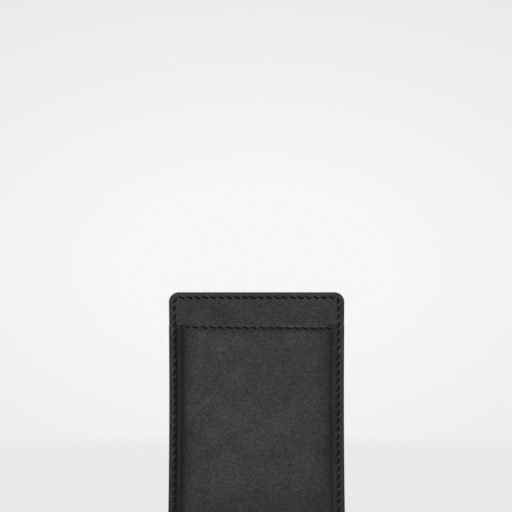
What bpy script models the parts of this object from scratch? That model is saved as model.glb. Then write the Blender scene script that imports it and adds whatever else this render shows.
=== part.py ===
"""Card holder: a flat stitched back that carries one formed, open-topped card pocket.

Metres, +Z up. X runs across the width and the front faces -Y. The origin is on the standing
surface, under the middle of the bounding box. Depths are given as levels: the distance from the
rear face towards the front. Insets are distances in from the outer edge.
"""

import math

import bmesh
import bpy
import numpy as np
from mathutils import Matrix

# Overall outline
WIDTH = 0.0700
HEIGHT = 0.1000
CORNER_RADIUS = 0.0040
SIDE_DRAW_IN = 0.00045

# Layers, from the rear to the front
BACK_THICKNESS = 0.0010
BOARD_THICKNESS = 0.0004
FACING_THICKNESS = 0.0010
LINING_THICKNESS = 0.0004
POCKET_THICKNESS = 0.0011
BOND_GAP = 0.0002

# Painted edges
COAT_THICKNESS = 0.0003
COAT_ROUNDING = 0.00012

# Seams and their grooves
SEAM_INSET = 0.0024
MOUTH_SEAM_DROP = 0.0015
STITCH_PITCH = 0.0032
STITCH_SHARE = 0.7
STITCH_SLANT = 0.00015
THREAD_DIAMETER = 0.00045
THREAD_CLEARANCE = 0.00008
THREAD_SINK = 0.00004
STEP_RUN = 0.0030

# Formed pocket, measured on its outer surface
STRIP_HEIGHT = 0.0128
FOOT_LAND = 0.0017
FOOT_RADIUS = 0.0008
SHOULDER_RADIUS = 0.0044
WALL_SLOPE = math.radians(72)
POCKET_RISE = 0.0046
FACE_CORNER_RADIUS = 0.0018

# Smoothness of corners, of the pocket wall's bends and of the drawn-in sides
CORNER_STEPS = 6
BEND_STEPS = 4
SIDE_STEPS = 4
WELD_DISTANCE = 1e-7

# Levels, insets and heights that follow from the sizes above
BOARD_REAR = BACK_THICKNESS + BOND_GAP
BOARD_FRONT = BOARD_REAR + BOARD_THICKNESS
FACING_REAR = BOARD_FRONT + BOND_GAP
FACING_FRONT = FACING_REAR + FACING_THICKNESS
LINING_OFFSET = POCKET_THICKNESS + BOND_GAP
LAYERS_OFFSET = LINING_OFFSET + LINING_THICKNESS
FLANGE_FRONT = FACING_FRONT + BOND_GAP + LAYERS_OFFSET
DEPTH = FLANGE_FRONT + POCKET_RISE
EDGE_INSET = COAT_THICKNESS + BOND_GAP
FOOT_INSET = SEAM_INSET + FOOT_LAND
BENDS = FOOT_RADIUS + SHOULDER_RADIUS
WALL_ANGLE = min(WALL_SLOPE, math.acos(max(0.0, 1 - POCKET_RISE / BENDS)))
STRAIGHT_RISE = POCKET_RISE - BENDS * (1 - math.cos(WALL_ANGLE))
FACE_INSET = FOOT_INSET + BENDS * math.sin(WALL_ANGLE) + STRAIGHT_RISE / math.tan(WALL_ANGLE)
MOUTH = HEIGHT - STRIP_HEIGHT
MOUTH_SEAM = MOUTH - MOUTH_SEAM_DROP
THREAD_RADIUS = THREAD_DIAMETER / 2
SEAM_DEPTH = THREAD_RADIUS + THREAD_SINK
GROOVE_RADIUS = THREAD_RADIUS + STITCH_SLANT + THREAD_CLEARANCE
STEP_FOOT = MOUTH + GROOVE_RADIUS
STEP_TOP = STEP_FOOT + STEP_RUN

# Colour, roughness and metallic value of each finish
FINISHES = {
    "black_leather": ((0.034, 0.036, 0.036, 1.0), 0.55, 0.0),
    "facing_leather": ((0.030, 0.031, 0.032, 1.0), 0.6, 0.0),
    "lining_cloth": ((0.020, 0.020, 0.022, 1.0), 0.85, 0.0),
    "stiffening_board": ((0.25, 0.22, 0.18, 1.0), 0.9, 0.0),
    "edge_paint": ((0.012, 0.012, 0.012, 1.0), 0.4, 0.0),
    "waxed_thread": ((0.008, 0.008, 0.009, 1.0), 0.5, 0.0),
}
PARTS = "card_holder"
CUTTERS = "cutters"


def depth_at(level):
    """World Y of a level, with the model centred in depth."""
    return DEPTH / 2 - level


def drawn_in(x, z):
    """World X of a point after the stitching has drawn the long sides in at mid-height."""
    across = x / (WIDTH / 2)
    along = (z - HEIGHT / 2) / (HEIGHT / 2)
    return x - SIDE_DRAW_IN * across * (1 - along * along)


def arc(centre_x, centre_z, radius, start, end):
    """Points on an arc in the plan, with angles in degrees from +X towards +Z."""
    angles = np.radians(np.linspace(start, end, CORNER_STEPS + 1))
    return [(centre_x + radius * math.cos(a), centre_z + radius * math.sin(a)) for a in angles]


def side(x, start, end, stations=()):
    """Points along a long side, without its ends, so that it can be drawn in."""
    heights = list(np.linspace(start, end, SIDE_STEPS + 1)[1:-1])
    heights += [z for z in stations if min(start, end) < z < max(start, end)]
    return [(x, z) for z in sorted(heights, reverse=end < start)]


def outline(inset, stations=()):
    """Closed outline of the card holder at an inset, clockwise seen from the front."""
    half = WIDTH / 2 - inset
    radius = CORNER_RADIUS - inset
    edge = half - radius
    low = inset + radius
    high = HEIGHT - low
    points = side(-half, low, high, stations)
    points += arc(-edge, high, radius, 180, 90)
    points += arc(edge, high, radius, 90, 0)
    points += side(half, high, low, stations)
    points += arc(edge, low, radius, 0, -90)
    points += arc(-edge, low, radius, -90, -180)
    return [(drawn_in(x, z), z) for x, z in points]


def pocket_contour(inset, top):
    """Open U at an inset: down the left side, round the bottom corners and up the right side."""
    half = WIDTH / 2 - inset
    radius = FACE_CORNER_RADIUS + FACE_INSET - inset
    if inset < FOOT_INSET:
        radius = CORNER_RADIUS - inset
    edge = half - radius
    low = inset + radius
    points = [(-half, top)] + side(-half, top, low)
    points += arc(-edge, low, radius, 180, 270)
    points += arc(edge, low, radius, 270, 360)
    points += side(half, low, top) + [(half, top)]
    return [(drawn_in(x, z), z) for x, z in points]


def pocket_wall(offset):
    """Inset and level of the pocket from its foot to its face, at an offset behind its outside.

    The leather turns up round the foot and over the shoulder, with a straight slope between the
    two bends. A pocket too shallow for that slope has a gentler one, where the bends meet.
    """
    foot_level = FLANGE_FRONT + FOOT_RADIUS
    shoulder_level = DEPTH - SHOULDER_RADIUS
    foot_reach = FOOT_RADIUS + offset
    shoulder_reach = SHOULDER_RADIUS - offset
    turn = np.linspace(0, WALL_ANGLE, BEND_STEPS + 1)
    foot = [(FOOT_INSET + foot_reach * math.sin(a), foot_level - foot_reach * math.cos(a)) for a in turn]
    if STRAIGHT_RISE < WELD_DISTANCE:
        foot.pop()
    shoulder = [
        (FACE_INSET - shoulder_reach * math.sin(a), shoulder_level + shoulder_reach * math.cos(a))
        for a in reversed(turn)
    ]
    return foot + shoulder


def pocket_section(offset, height, start=None):
    """World points across the pocket at one height, from foot to foot or from edge to edge."""
    half = [(inset - WIDTH / 2, level) for inset, level in pocket_wall(offset)]
    if start is not None:
        half.insert(0, (start - WIDTH / 2, FLANGE_FRONT - offset))
    points = half + [(-x, level) for x, level in reversed(half)]
    return [(drawn_in(x, height), depth_at(level), height) for x, level in points]


def collection(name):
    """Collection in the scene, made when it is first asked for."""
    if name not in bpy.data.collections:
        bpy.context.scene.collection.children.link(bpy.data.collections.new(name))
    return bpy.data.collections[name]


def finish(name):
    """Principled material of one finish, made when it is first asked for."""
    if name in bpy.data.materials:
        return bpy.data.materials[name]
    colour, roughness, metallic = FINISHES[name]
    material = bpy.data.materials.new(name)
    material.use_nodes = True
    material.diffuse_color = colour
    shader = material.node_tree.nodes["Principled BSDF"]
    shader.inputs["Base Color"].default_value = colour
    shader.inputs["Roughness"].default_value = roughness
    shader.inputs["Metallic"].default_value = metallic
    return material


def place(name, data, look=None):
    """Object with the given data: a part if it has a finish, and otherwise a cutter."""
    thing = bpy.data.objects.new(name, data)
    collection(PARTS if look else CUTTERS).objects.link(thing)
    if look:
        thing.parent = bpy.data.objects[f"{PARTS}_root"]
        thing.data.materials.append(finish(look))
    else:
        thing.hide_render = True
        thing.display_type = "WIRE"
    return thing


def welded(curve, matrix):
    """Closed mesh of a curve, moved by a matrix."""
    holder = bpy.data.objects.new(curve.name, curve)
    bpy.context.scene.collection.objects.link(holder)
    evaluated = holder.evaluated_get(bpy.context.evaluated_depsgraph_get())
    mesh = bpy.data.meshes.new_from_object(evaluated)
    bpy.data.objects.remove(holder)
    shape = bmesh.new()
    shape.from_mesh(mesh)
    bmesh.ops.remove_doubles(shape, verts=shape.verts, dist=WELD_DISTANCE)
    bmesh.ops.recalc_face_normals(shape, faces=shape.faces)
    shape.transform(matrix)
    shape.to_mesh(mesh)
    shape.free()
    return mesh


def add_spline(curve, points, closed):
    """Straight-segment spline through points."""
    spline = curve.splines.new("POLY")
    spline.points.add(len(points) - 1)
    spline.points.foreach_set("co", [v for point in points for v in (*point, 1.0)])
    spline.use_cyclic_u = closed


def sheet(name, outlines, rear, front, look):
    """Flat layer cut to one or more plan outlines, between two levels."""
    curve = bpy.data.curves.new(name, "CURVE")
    curve.dimensions = "2D"
    curve.fill_mode = "BOTH"
    curve.extrude = (front - rear) / 2
    for points in outlines:
        add_spline(curve, [(x, z, 0.0) for x, z in points], True)
    upright = Matrix.Rotation(math.radians(90), 4, "X")
    middle = Matrix.Translation((0, depth_at((rear + front) / 2), 0))
    return place(name, welded(curve, middle @ upright), look)


def tube(name, points, radius, closed, look=None):
    """Six-sided tube along world points, with any open ends capped."""
    curve = bpy.data.curves.new(name, "CURVE")
    curve.dimensions = "3D"
    curve.bevel_depth = radius
    curve.bevel_resolution = 1
    curve.use_fill_caps = True
    add_spline(curve, points, closed)
    return place(name, welded(curve, Matrix.Identity(4)), look)


def block(name, low, high):
    """Box-shaped cutter between two corners."""
    size = [b - a for a, b in zip(low, high)]
    shape = bmesh.new()
    bmesh.ops.create_cube(shape, size=1, matrix=Matrix.Diagonal((*size, 1)))
    mesh = bpy.data.meshes.new(name)
    shape.to_mesh(mesh)
    shape.free()
    thing = place(name, mesh)
    thing.location = [(a + b) / 2 for a, b in zip(low, high)]
    return thing


def cut(piece, *cutters):
    """Take the cutters' shapes out of a piece."""
    for cutter in cutters:
        modifier = piece.modifiers.new(cutter.name, "BOOLEAN")
        modifier.operation = "DIFFERENCE"
        modifier.object = cutter


def thicken(piece, thickness):
    """Give an open surface a wall behind its outer side."""
    wall = piece.modifiers.new("Thickness", "SOLIDIFY")
    wall.thickness = thickness
    wall.offset = -1
    wall.use_even_offset = True


def formed_sheet(name, offset, thickness, look):
    """Pocket layer at an offset: a border, contours lofted up the wall, and the flat face."""
    top = MOUTH - EDGE_INSET
    section = [(EDGE_INSET, FLANGE_FRONT - offset)] + pocket_wall(offset)
    shape = bmesh.new()
    rows = []
    for inset, level in section:
        contour = pocket_contour(inset, top)
        rows.append([shape.verts.new((x, depth_at(level), z)) for x, z in contour])
    for outer, inner in zip(rows, rows[1:]):
        for i in range(len(outer) - 1):
            shape.faces.new((outer[i], outer[i + 1], inner[i + 1], inner[i]))
    shape.faces.new(rows[-1])
    mesh = bpy.data.meshes.new(name)
    shape.to_mesh(mesh)
    shape.free()
    mesh.shade_smooth()
    mesh.set_sharp_from_angle(angle=math.radians(40))
    piece = place(name, mesh, look)
    thicken(piece, thickness)
    return piece


def edge_path(level_at):
    """World points of the seam round the whole edge, and unit vectors that point out of it."""
    plan = outline(SEAM_INSET, (STEP_FOOT, STEP_TOP))
    line = np.array(plan)
    ahead = np.roll(line, -1, axis=0) - np.roll(line, 1, axis=0)
    ahead /= np.linalg.norm(ahead, axis=1)[:, None]
    points = [(x, depth_at(level_at(z)), z) for x, z in plan]
    return points, [(-z, 0.0, x) for x, z in ahead]


def front_level(z):
    """Level of the front edge seam, which steps down from the pocket border to the bare strip."""
    surface = np.interp(z, [STEP_FOOT, STEP_TOP], [FLANGE_FRONT, FACING_FRONT])
    return float(surface) - SEAM_DEPTH


def back_level(_):
    """Level of the edge seam on the rear face."""
    return SEAM_DEPTH


def measured(points, closed):
    """A line's points, with the first repeated if it is closed, and the distance to each."""
    line = np.array(points + points[:1] if closed else points, float)
    steps = np.linalg.norm(np.diff(line, axis=0), axis=1)
    return line, np.concatenate([[0.0], np.cumsum(steps)])


def stitched(points, sideways, closed):
    """Points of one unbroken thread along a seam.

    Each stitch slants across the seam, and the thread crosses back at the hole between two
    stitches. The seam's own corners are kept, so that the thread stays inside its groove.
    """
    line, run = measured(points, closed)
    lean = np.array(sideways + sideways[:1] if closed else sideways)
    count = max(1, round(run[-1] / STITCH_PITCH))
    pitch = run[-1] / count
    starts = (np.arange(count) + (1 - STITCH_SHARE) / 2) * pitch
    knots = np.stack([starts, starts + STITCH_SHARE * pitch], 1).ravel()
    slants = np.tile([STITCH_SLANT, -STITCH_SLANT], count)
    corners = [s for s in run[1:-1] if np.abs(knots - s).min() > THREAD_DIAMETER]
    stops = np.sort(np.concatenate([knots, corners]))
    slant = np.interp(stops, knots, slants)
    places = np.stack([np.interp(stops, run, line[:, i]) for i in range(3)], 1)
    leans = np.stack([np.interp(stops, run, lean[:, i]) for i in range(3)], 1)
    return [tuple(point) for point in places + leans * slant[:, None]]


def edge_groove(name, level_at):
    """Cutter for the groove that an edge seam lies in."""
    points, _ = edge_path(level_at)
    return tube(name, points, GROOVE_RADIUS, True)


def edge_seam(name, level_at):
    """Thread round the whole edge, on one face."""
    points, sideways = edge_path(level_at)
    return tube(name, stitched(points, sideways, True), THREAD_RADIUS, True, "waxed_thread")


def mouth_groove():
    """Cutter for the groove of the mouth seam, from foot to foot across the pocket."""
    return tube("mouth_groove", pocket_section(SEAM_DEPTH, MOUTH_SEAM), GROOVE_RADIUS, False)


def mouth_seam(name, points):
    """Thread along the mouth of the pocket."""
    upright = [(0.0, 0.0, 1.0)] * len(points)
    return tube(name, stitched(points, upright, False), THREAD_RADIUS, False, "waxed_thread")


def mouth_seam_reverse():
    """Run of the mouth seam inside the pocket, lying on the lining across the flat face."""
    level = DEPTH - LAYERS_OFFSET - THREAD_CLEARANCE - THREAD_RADIUS
    end = drawn_in(WIDTH / 2 - FACE_INSET, MOUTH_SEAM)
    points = [(x, depth_at(level), MOUTH_SEAM) for x in (-end, end)]
    return mouth_seam("mouth_seam_reverse", points)


def edge_coat():
    """Painted edge round all the layers, lower along the bare strip than round the pocket."""
    coat = sheet("edge_coat", [outline(0), outline(COAT_THICKNESS)], 0, FLANGE_FRONT, "edge_paint")
    low = (-WIDTH, depth_at(DEPTH), MOUTH)
    high = (WIDTH, depth_at(FACING_FRONT), HEIGHT + STRIP_HEIGHT)
    cut(coat, block("strip_cut", low, high))
    rounding = coat.modifiers.new("Rounded paint", "BEVEL")
    rounding.width = COAT_ROUNDING
    rounding.segments = 1
    rounding.limit_method = "ANGLE"
    return coat


def mouth_edge_coat(groove):
    """Painted edge along the mouth, over the pocket front and its lining."""
    outer = pocket_section(0, MOUTH, EDGE_INSET)
    inner = pocket_section(LAYERS_OFFSET, MOUTH, EDGE_INSET)
    shape = bmesh.new()
    shape.faces.new([shape.verts.new(point) for point in outer + inner[::-1]])
    mesh = bpy.data.meshes.new("mouth_edge_coat")
    shape.to_mesh(mesh)
    shape.free()
    coat = place("mouth_edge_coat", mesh, "edge_paint")
    thicken(coat, COAT_THICKNESS)
    cut(coat, groove)
    return coat


def build():
    for thing in list(bpy.data.objects):
        bpy.data.objects.remove(thing)
    collection(PARTS).objects.link(bpy.data.objects.new(f"{PARTS}_root", None))
    front_groove = edge_groove("front_groove", front_level)
    panel = [outline(EDGE_INSET)]

    back = sheet("back_panel", panel, 0, BACK_THICKNESS, "black_leather")
    cut(back, edge_groove("back_groove", back_level))
    sheet("back_board", panel, BOARD_REAR, BOARD_FRONT, "stiffening_board")
    facing = sheet("inner_facing", panel, FACING_REAR, FACING_FRONT, "facing_leather")
    cut(facing, front_groove)

    pocket = formed_sheet("pocket_front", 0, POCKET_THICKNESS, "black_leather")
    cut(pocket, front_groove, mouth_groove())
    formed_sheet("pocket_lining", LINING_OFFSET, LINING_THICKNESS, "lining_cloth")

    edge_coat()
    mouth_edge_coat(front_groove)

    edge_seam("edge_seam_front", front_level)
    edge_seam("edge_seam_back", back_level)
    mouth_seam("mouth_seam_front", pocket_section(SEAM_DEPTH, MOUTH_SEAM))
    mouth_seam_reverse()


build()
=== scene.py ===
"""Looks of the card holder: formed leather, stitching, painted edges and a pale stage.

Every piece is built in the frame's own metres: X across, the front towards -Y, +Z up. Plans are
worked out flat, in X and Z. An inset is a distance in from the outer edge, and a depth is a
distance below a leather's surface.
"""

import math

import bpy
import numpy as np
from bpy.props import FloatProperty, FloatVectorProperty, IntProperty, PointerProperty
from mathutils import Euler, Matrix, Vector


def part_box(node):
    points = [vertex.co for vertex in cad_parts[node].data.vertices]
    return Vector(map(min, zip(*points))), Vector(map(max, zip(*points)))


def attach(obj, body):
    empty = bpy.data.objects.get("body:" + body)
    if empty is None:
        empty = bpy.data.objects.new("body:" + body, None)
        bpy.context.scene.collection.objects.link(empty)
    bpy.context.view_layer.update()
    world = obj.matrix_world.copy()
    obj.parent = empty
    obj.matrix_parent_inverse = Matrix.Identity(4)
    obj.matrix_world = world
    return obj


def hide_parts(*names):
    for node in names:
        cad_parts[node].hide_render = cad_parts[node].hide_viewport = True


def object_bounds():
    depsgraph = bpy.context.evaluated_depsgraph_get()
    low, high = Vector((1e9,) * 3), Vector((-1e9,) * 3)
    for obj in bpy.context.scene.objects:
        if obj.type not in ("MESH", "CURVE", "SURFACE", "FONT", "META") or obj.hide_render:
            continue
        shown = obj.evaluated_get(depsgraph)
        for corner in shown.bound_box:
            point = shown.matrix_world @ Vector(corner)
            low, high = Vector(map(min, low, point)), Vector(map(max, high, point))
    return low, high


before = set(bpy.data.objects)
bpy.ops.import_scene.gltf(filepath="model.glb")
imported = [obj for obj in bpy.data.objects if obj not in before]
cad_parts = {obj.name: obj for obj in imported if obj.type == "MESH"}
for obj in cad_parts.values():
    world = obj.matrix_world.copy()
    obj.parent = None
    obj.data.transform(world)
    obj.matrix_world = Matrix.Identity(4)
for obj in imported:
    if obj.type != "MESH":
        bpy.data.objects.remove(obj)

bl_info = {
    "name": "Card holder looks",
    "version": (1, 0, 0),
    "blender": (4, 5, 0),
    "location": "View3D > Sidebar > Card holder",
    "description": "Builds the leather, stitching, painted edges and stage of a card holder",
    "category": "Object",
}

MM = 0.001
CAD_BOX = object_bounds()

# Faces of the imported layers, as world Y, and the heights of the mouth and its seam
FACING_LOW, FACING_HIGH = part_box("inner_facing")
BACK_LOW, BACK_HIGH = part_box("back_panel")
POCKET_LOW, POCKET_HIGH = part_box("pocket_front")
LINING_LOW, LINING_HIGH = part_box("pocket_lining")
MOUTH_COAT_LOW, MOUTH_COAT_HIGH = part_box("mouth_edge_coat")
MOUTH_SEAM_LOW, MOUTH_SEAM_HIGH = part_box("mouth_seam_front")
BORDER_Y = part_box("edge_coat")[0].y
STRIP_Y = FACING_LOW.y
FACE_Y = POCKET_LOW.y
REAR_Y = BACK_HIGH.y
MOUTH = MOUTH_COAT_HIGH.z
LIP = MOUTH_COAT_LOW.z
MOUTH_SEAM = (MOUTH_SEAM_LOW.z + MOUTH_SEAM_HIGH.z) / 2
POCKET_THICKNESS = POCKET_HIGH.y - BORDER_Y
LINING_OFFSET = LINING_LOW.y - FACE_Y
LAYERS_OFFSET = LINING_HIGH.y - BORDER_Y

# Where the background glows: the sine of its rise, how far from there it dims, and how much of
# the distance counts along X, Y and Z
GLOW_RISE = 0.0464
GLOW_START = 0.055
GLOW_END = 0.20
GLOW_STRETCH = (0.6, 0.0, 1.0)

# Steps across the pocket's border, foot, wall, shoulder and the rim of its face
FINE = (25, 6, 4, 10, 3)
COARSE = (8, 5, 3, 7, 3)
SHARP = math.radians(50)

# How much the stitches of a seam differ in place, slant and length, as shares of each
PLACE_SPREAD = 0.03
SLANT_SPREAD = 0.12
LENGTH_SPREAD = 0.05

# Where each seam's first stitch lies, as a share of the pitch
EDGE_PHASE = 0.79
MOUTH_PHASE = 0.72
REVERSE_PHASE = 0.5

# Thread: its plies, how far they stand out, how far its ends taper and dive into their holes
PLIES = 3
PLY_DEPTH = 0.09
END_TAPER = 0.25
DIVE = 0.55 * MM

# Reach of the channel to each side of a seam, and the height over which the edge seam steps down
CHANNEL_REACH = 0.6 * MM
STEP_DROP = 1.6 * MM

# Tints of leather: none, and the warm painted highlight where light falls on the lip and the top
# edge
WHITE = (1.0, 1.0, 1.0, 1.0)
HIGHLIGHT_TINT = (1.16, 1.13, 1.06, 1.0)

# Softboxes: distance in front of or behind the object, height, size and tilt
SOFTBOX_AWAY = 0.95
SOFTBOX_RISE = 0.62
SOFTBOX_WIDE = 1.3
SOFTBOX_TALL = 0.8
SOFTBOX_TILT = math.radians(59.5)


def size(name, description, default):
    """A length that a user may change."""
    return FloatProperty(
        name=name, description=description, default=default, min=0.0, precision=5, unit="LENGTH"
    )


def angle(name, description, degrees):
    """An angle that a user may change."""
    return FloatProperty(
        name=name, description=description, default=math.radians(degrees), subtype="ANGLE"
    )


def colour(name, description, default):
    """A surface colour that a user may change, linear."""
    return FloatVectorProperty(
        name=name, description=description, default=default, min=0.0, max=1.0, subtype="COLOR"
    )


def power(name, description, default):
    """A lamp's power that a user may change."""
    return FloatProperty(
        name=name, description=description, default=default, min=0.0, unit="POWER"
    )


class HolderShape(bpy.types.PropertyGroup):
    """Sizes of the leather and of the formed pocket."""

    width: size("Width", "Width before the seams draw the sides in", 70 * MM)
    height: size("Height", "Height from the standing edge to the top", CAD_BOX[1].z)
    corner: size("Corner radius", "Radius of the outer corners", 4 * MM)
    draw_in: size("Draw-in", "How far each long side is drawn in at mid-height", 0.45 * MM)
    paint: size("Paint depth", "How far the edge paint reaches in", 0.3 * MM)
    seam_inset: size("Seam inset", "Distance of the edge seam from the edge", 2.3 * MM)
    foot_inset: size("Foot inset", "Where the pocket wall starts to rise", 4.1 * MM)
    foot_radius: size("Foot radius", "Bend at the foot of the pocket wall", 0.8 * MM)
    shoulder_radius: size("Shoulder radius", "Bend from the pocket wall to its face", 4.4 * MM)
    wall_slope: angle("Wall slope", "Steepness of the pocket wall", 72)
    face_corner: size("Face corner", "Plan radius of the pocket face's corners", 1.8 * MM)
    crown: size("Crown", "How far the pocket face swells in its middle", 0.2 * MM)
    swell: size("Border swell", "Rounding of the border between edge and seam", 0.12 * MM)


class HolderStitching(bpy.types.PropertyGroup):
    """Thread, stitches and what they do to the leather."""

    pitch: size("Edge pitch", "Distance between stitches round the edge", 3.17 * MM)
    mouth_pitch: size("Mouth pitch", "Distance between stitches along the mouth", 3.37 * MM)
    length: size("Stitch length", "Thread that shows between two holes", 1.85 * MM)
    thread: size("Thread diameter", "Diameter of the twisted thread", 0.48 * MM)
    twist: size("Twist", "Length of one turn of the thread's plies", 1.5 * MM)
    slant: angle("Slant", "Angle of a stitch to its seam", 20)
    sink: size("Sink", "Depth of the thread's middle below the leather", 0.17 * MM)
    channel: size("Channel", "Depth of the channel along a seam", 0.10 * MM)
    dent: size("Dent", "Depth of the dent under each stitch", 0.26 * MM)
    hole: size("Hole", "Depth of the hole at each end of a stitch", 0.34 * MM)
    fall: size("Mouth fall", "How far the mouth seam falls from left to right", 0.82 * MM)
    seed: IntProperty(
        name="Seed", description="Sets the small differences between stitches", default=7
    )


class HolderFinish(bpy.types.PropertyGroup):
    """Colours of the pieces and of the stage."""

    leather: colour("Leather", "Outer leather", (0.0341, 0.0366, 0.0360))
    facing: colour("Facing", "Leather of the strip above the mouth", (0.0287, 0.0302, 0.0318))
    upper_tint: colour("Upper tint", "Tint of the leather towards its top", (0.975, 1.0, 1.0))
    lower_tint: colour("Lower tint", "Tint of the leather towards its bottom", (0.985, 0.985, 0.925))
    worn: colour("Worn border", "Tint of the leather where hands rub it", (0.88, 0.80, 0.765))
    paint: colour("Edge paint", "Painted edges", (0.0100, 0.0103, 0.0105))
    thread: colour("Thread", "Waxed thread", (0.0022, 0.0022, 0.0024))
    lining: colour("Lining", "Woven pocket lining", (0.0180, 0.0180, 0.0200))
    board: colour("Board", "Stiffening board", (0.25, 0.22, 0.18))
    floor: colour("Floor", "Pale floor", (0.812, 0.812, 0.812))
    backdrop: colour("Backdrop", "Background behind the object", (0.922, 0.922, 0.922))
    backdrop_far: colour("Backdrop far", "Background away from the object", (0.815, 0.815, 0.815))


class HolderStage(bpy.types.PropertyGroup):
    """Camera and light."""

    distance: size("Camera distance", "Camera to the pocket's border", 600 * MM)
    aim: size("Aim", "Height on the border's plane that the camera looks at", 114.30 * MM)
    aside: size("Camera offset", "How far the camera stands to the left of the middle", 0.24 * MM)
    pitch: angle("Camera pitch", "How far the camera looks up", 3)
    view: size("View", "Width of the view at the border's plane", 203.0 * MM)
    floor_start: size("Floor fade start", "Where the floor starts to fade", 400 * MM)
    floor_end: size("Floor fade end", "Where the floor has faded into the background", 750 * MM)
    ambient: FloatProperty(
        name="Ambient", description="Strength of the room's light", default=0.05, min=0.0
    )
    key: power("Key light", "Power of the softbox in front", 20.0)
    back: power("Back light", "Power of the softbox behind", 20.0)


class CardHolder(bpy.types.PropertyGroup):
    """All that sets the looks of the card holder."""

    shape: PointerProperty(type=HolderShape)
    stitching: PointerProperty(type=HolderStitching)
    finish: PointerProperty(type=HolderFinish)
    stage: PointerProperty(type=HolderStage)


# Plans


def eased(value, low, high):
    """Smooth step from zero at low to one at high."""
    t = np.clip((value - low) / (high - low), 0, 1)
    return t * t * (3 - 2 * t)


def hump(value, centre, reach, power=2):
    """Smooth hump that is one at its centre and dies away over a few reaches."""
    return np.exp(-(((value - centre) / reach) ** power))


def drawn_in(shape, x, z):
    """X after the seams have drawn the long sides in at mid-height."""
    along = (z - shape.height / 2) / (shape.height / 2)
    return x * (1 - shape.draw_in / (shape.width / 2) * (1 - along**2))


def inset_of(shape, x, z):
    """Distance in from the outer edge of points in the plan."""
    over_x = np.abs(x) - (shape.width / 2 - shape.corner)
    over_z = np.abs(z - shape.height / 2) - (shape.height / 2 - shape.corner)
    past = np.hypot(np.maximum(over_x, 0), np.maximum(over_z, 0))
    return shape.corner - past - np.minimum(np.maximum(over_x, over_z), 0)


def rounded_run(length, start, end, shares):
    """Points along one side of a rounded plan, as distances along it and in from it.

    The run goes from the middle of its first corner to the middle of its last. A radius of zero
    is a square end.
    """
    first = math.pi / 4 * start
    last = math.pi / 4 * end
    total = length - start - end + first + last
    run = shares * total
    along = run - first + start
    inward = np.zeros_like(run)
    for radius, left, mirrored in ((start, run, False), (end, total - run, True)):
        bend = left < math.pi / 4 * radius
        turn = math.pi / 4 + left[bend] / max(radius, 1e-9)
        reach = radius * (1 - np.cos(turn))
        along[bend] = length - reach if mirrored else reach
        inward[bend] = radius * (1 - np.sin(turn))
    return along, inward


def closed_plan(shape, inset, radius, across, down):
    """Closed rounded plan at an inset, clockwise seen from the front, from the top left corner."""
    half = shape.width / 2 - inset
    high = shape.height - inset
    along, dip = rounded_run(2 * half, radius, radius, across)
    drop, lean = rounded_run(high - inset, radius, radius, down)
    rise, tilt = rounded_run(high - inset, radius, radius, 1 - down[::-1])
    sides = [
        (along - half, high - dip),
        (half - lean, high - drop),
        (half - along, inset + dip),
        (tilt - half, inset + rise),
    ]
    return np.concatenate([np.stack(side, 1)[:-1] for side in sides])


def pocket_plan(shape, inset, radius, across, down):
    """Open U at an inset: down the left side from the lip, along the bottom and up the right."""
    half = shape.width / 2 - inset
    drop, lean = rounded_run(LIP - inset, 0.0, radius, down)
    along, dip = rounded_run(2 * half, radius, radius, across)
    left = np.stack([lean - half, LIP - drop], 1)
    bottom = np.stack([along - half, inset + dip], 1)
    right = left[::-1] * (-1, 1)
    return np.concatenate([left[:-1], bottom[:-1], right])


# Meshes


def loop_quads(rows, count, closed):
    """Quads between rows of points, row by row, with each row an open or a closed loop."""
    here = np.arange(count if closed else count - 1)
    after = (here + 1) % count
    base = np.arange(rows - 1)[:, None] * count
    quads = np.stack([base + here, base + after, base + count + after, base + count + here], 2)
    return quads.reshape(-1, 4)


def grid_quads(grid):
    """Quads of a grid of point numbers."""
    quads = np.stack([grid[:-1, :-1], grid[:-1, 1:], grid[1:, 1:], grid[1:, :-1]], 2)
    return quads.reshape(-1, 4)


def filled(loop, wide, tall, closed, first_new):
    """Grid of point numbers inside a loop: the loop's own round its sides and new ones within."""
    grid = np.zeros((tall + 1, wide + 1), int)
    if closed:
        grid[0, :wide] = loop[:wide]
        grid[:tall, wide] = loop[wide : wide + tall]
        grid[tall, wide:0:-1] = loop[wide + tall : 2 * wide + tall]
        grid[tall:0:-1, 0] = loop[2 * wide + tall :]
        inner = grid[1:tall, 1:wide]
    else:
        grid[:tall, 0] = loop[:tall]
        grid[tall, :wide] = loop[tall : tall + wide]
        grid[tall::-1, wide] = loop[tall + wide :]
        inner = grid[:tall, 1:wide]
    inner[:] = first_new + np.arange(inner.size).reshape(inner.shape)
    return grid


def inner_points(loop, across, down, closed):
    """Plan points of the grid inside a square-cornered loop, without the loop's own."""
    low = loop.min(0)
    high = loop.max(0)
    xs = low[0] + (high[0] - low[0]) * across[1:-1]
    zs = high[1] - (high[1] - low[1]) * (down[1:-1] if closed else down[:-1])
    return np.stack(np.meshgrid(xs, zs), 2).reshape(-1, 2)


def shell(front, rear, quads):
    """Points and faces of a closed sheet between two surfaces that share their faces."""
    count = len(front)
    sides = np.concatenate([quads[:, [i, (i + 1) % 4]] for i in range(4)])
    there = sides[:, 0] * count + sides[:, 1]
    back = sides[:, 1] * count + sides[:, 0]
    rim = sides[~np.isin(there, back)]
    walls = np.stack([rim[:, 1], rim[:, 0], rim[:, 0] + count, rim[:, 1] + count], 1)
    faces = np.concatenate([quads, quads[:, ::-1] + count, walls])
    return np.concatenate([front, rear]), faces


def turned_out(points, quads, towards):
    """Quads turned so that the first one faces the given side of Y."""
    a, b, c = points[quads[0, :3]]
    normal = np.cross(b - a, c - a)
    return quads if normal[1] * towards > 0 else quads[:, ::-1]


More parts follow.
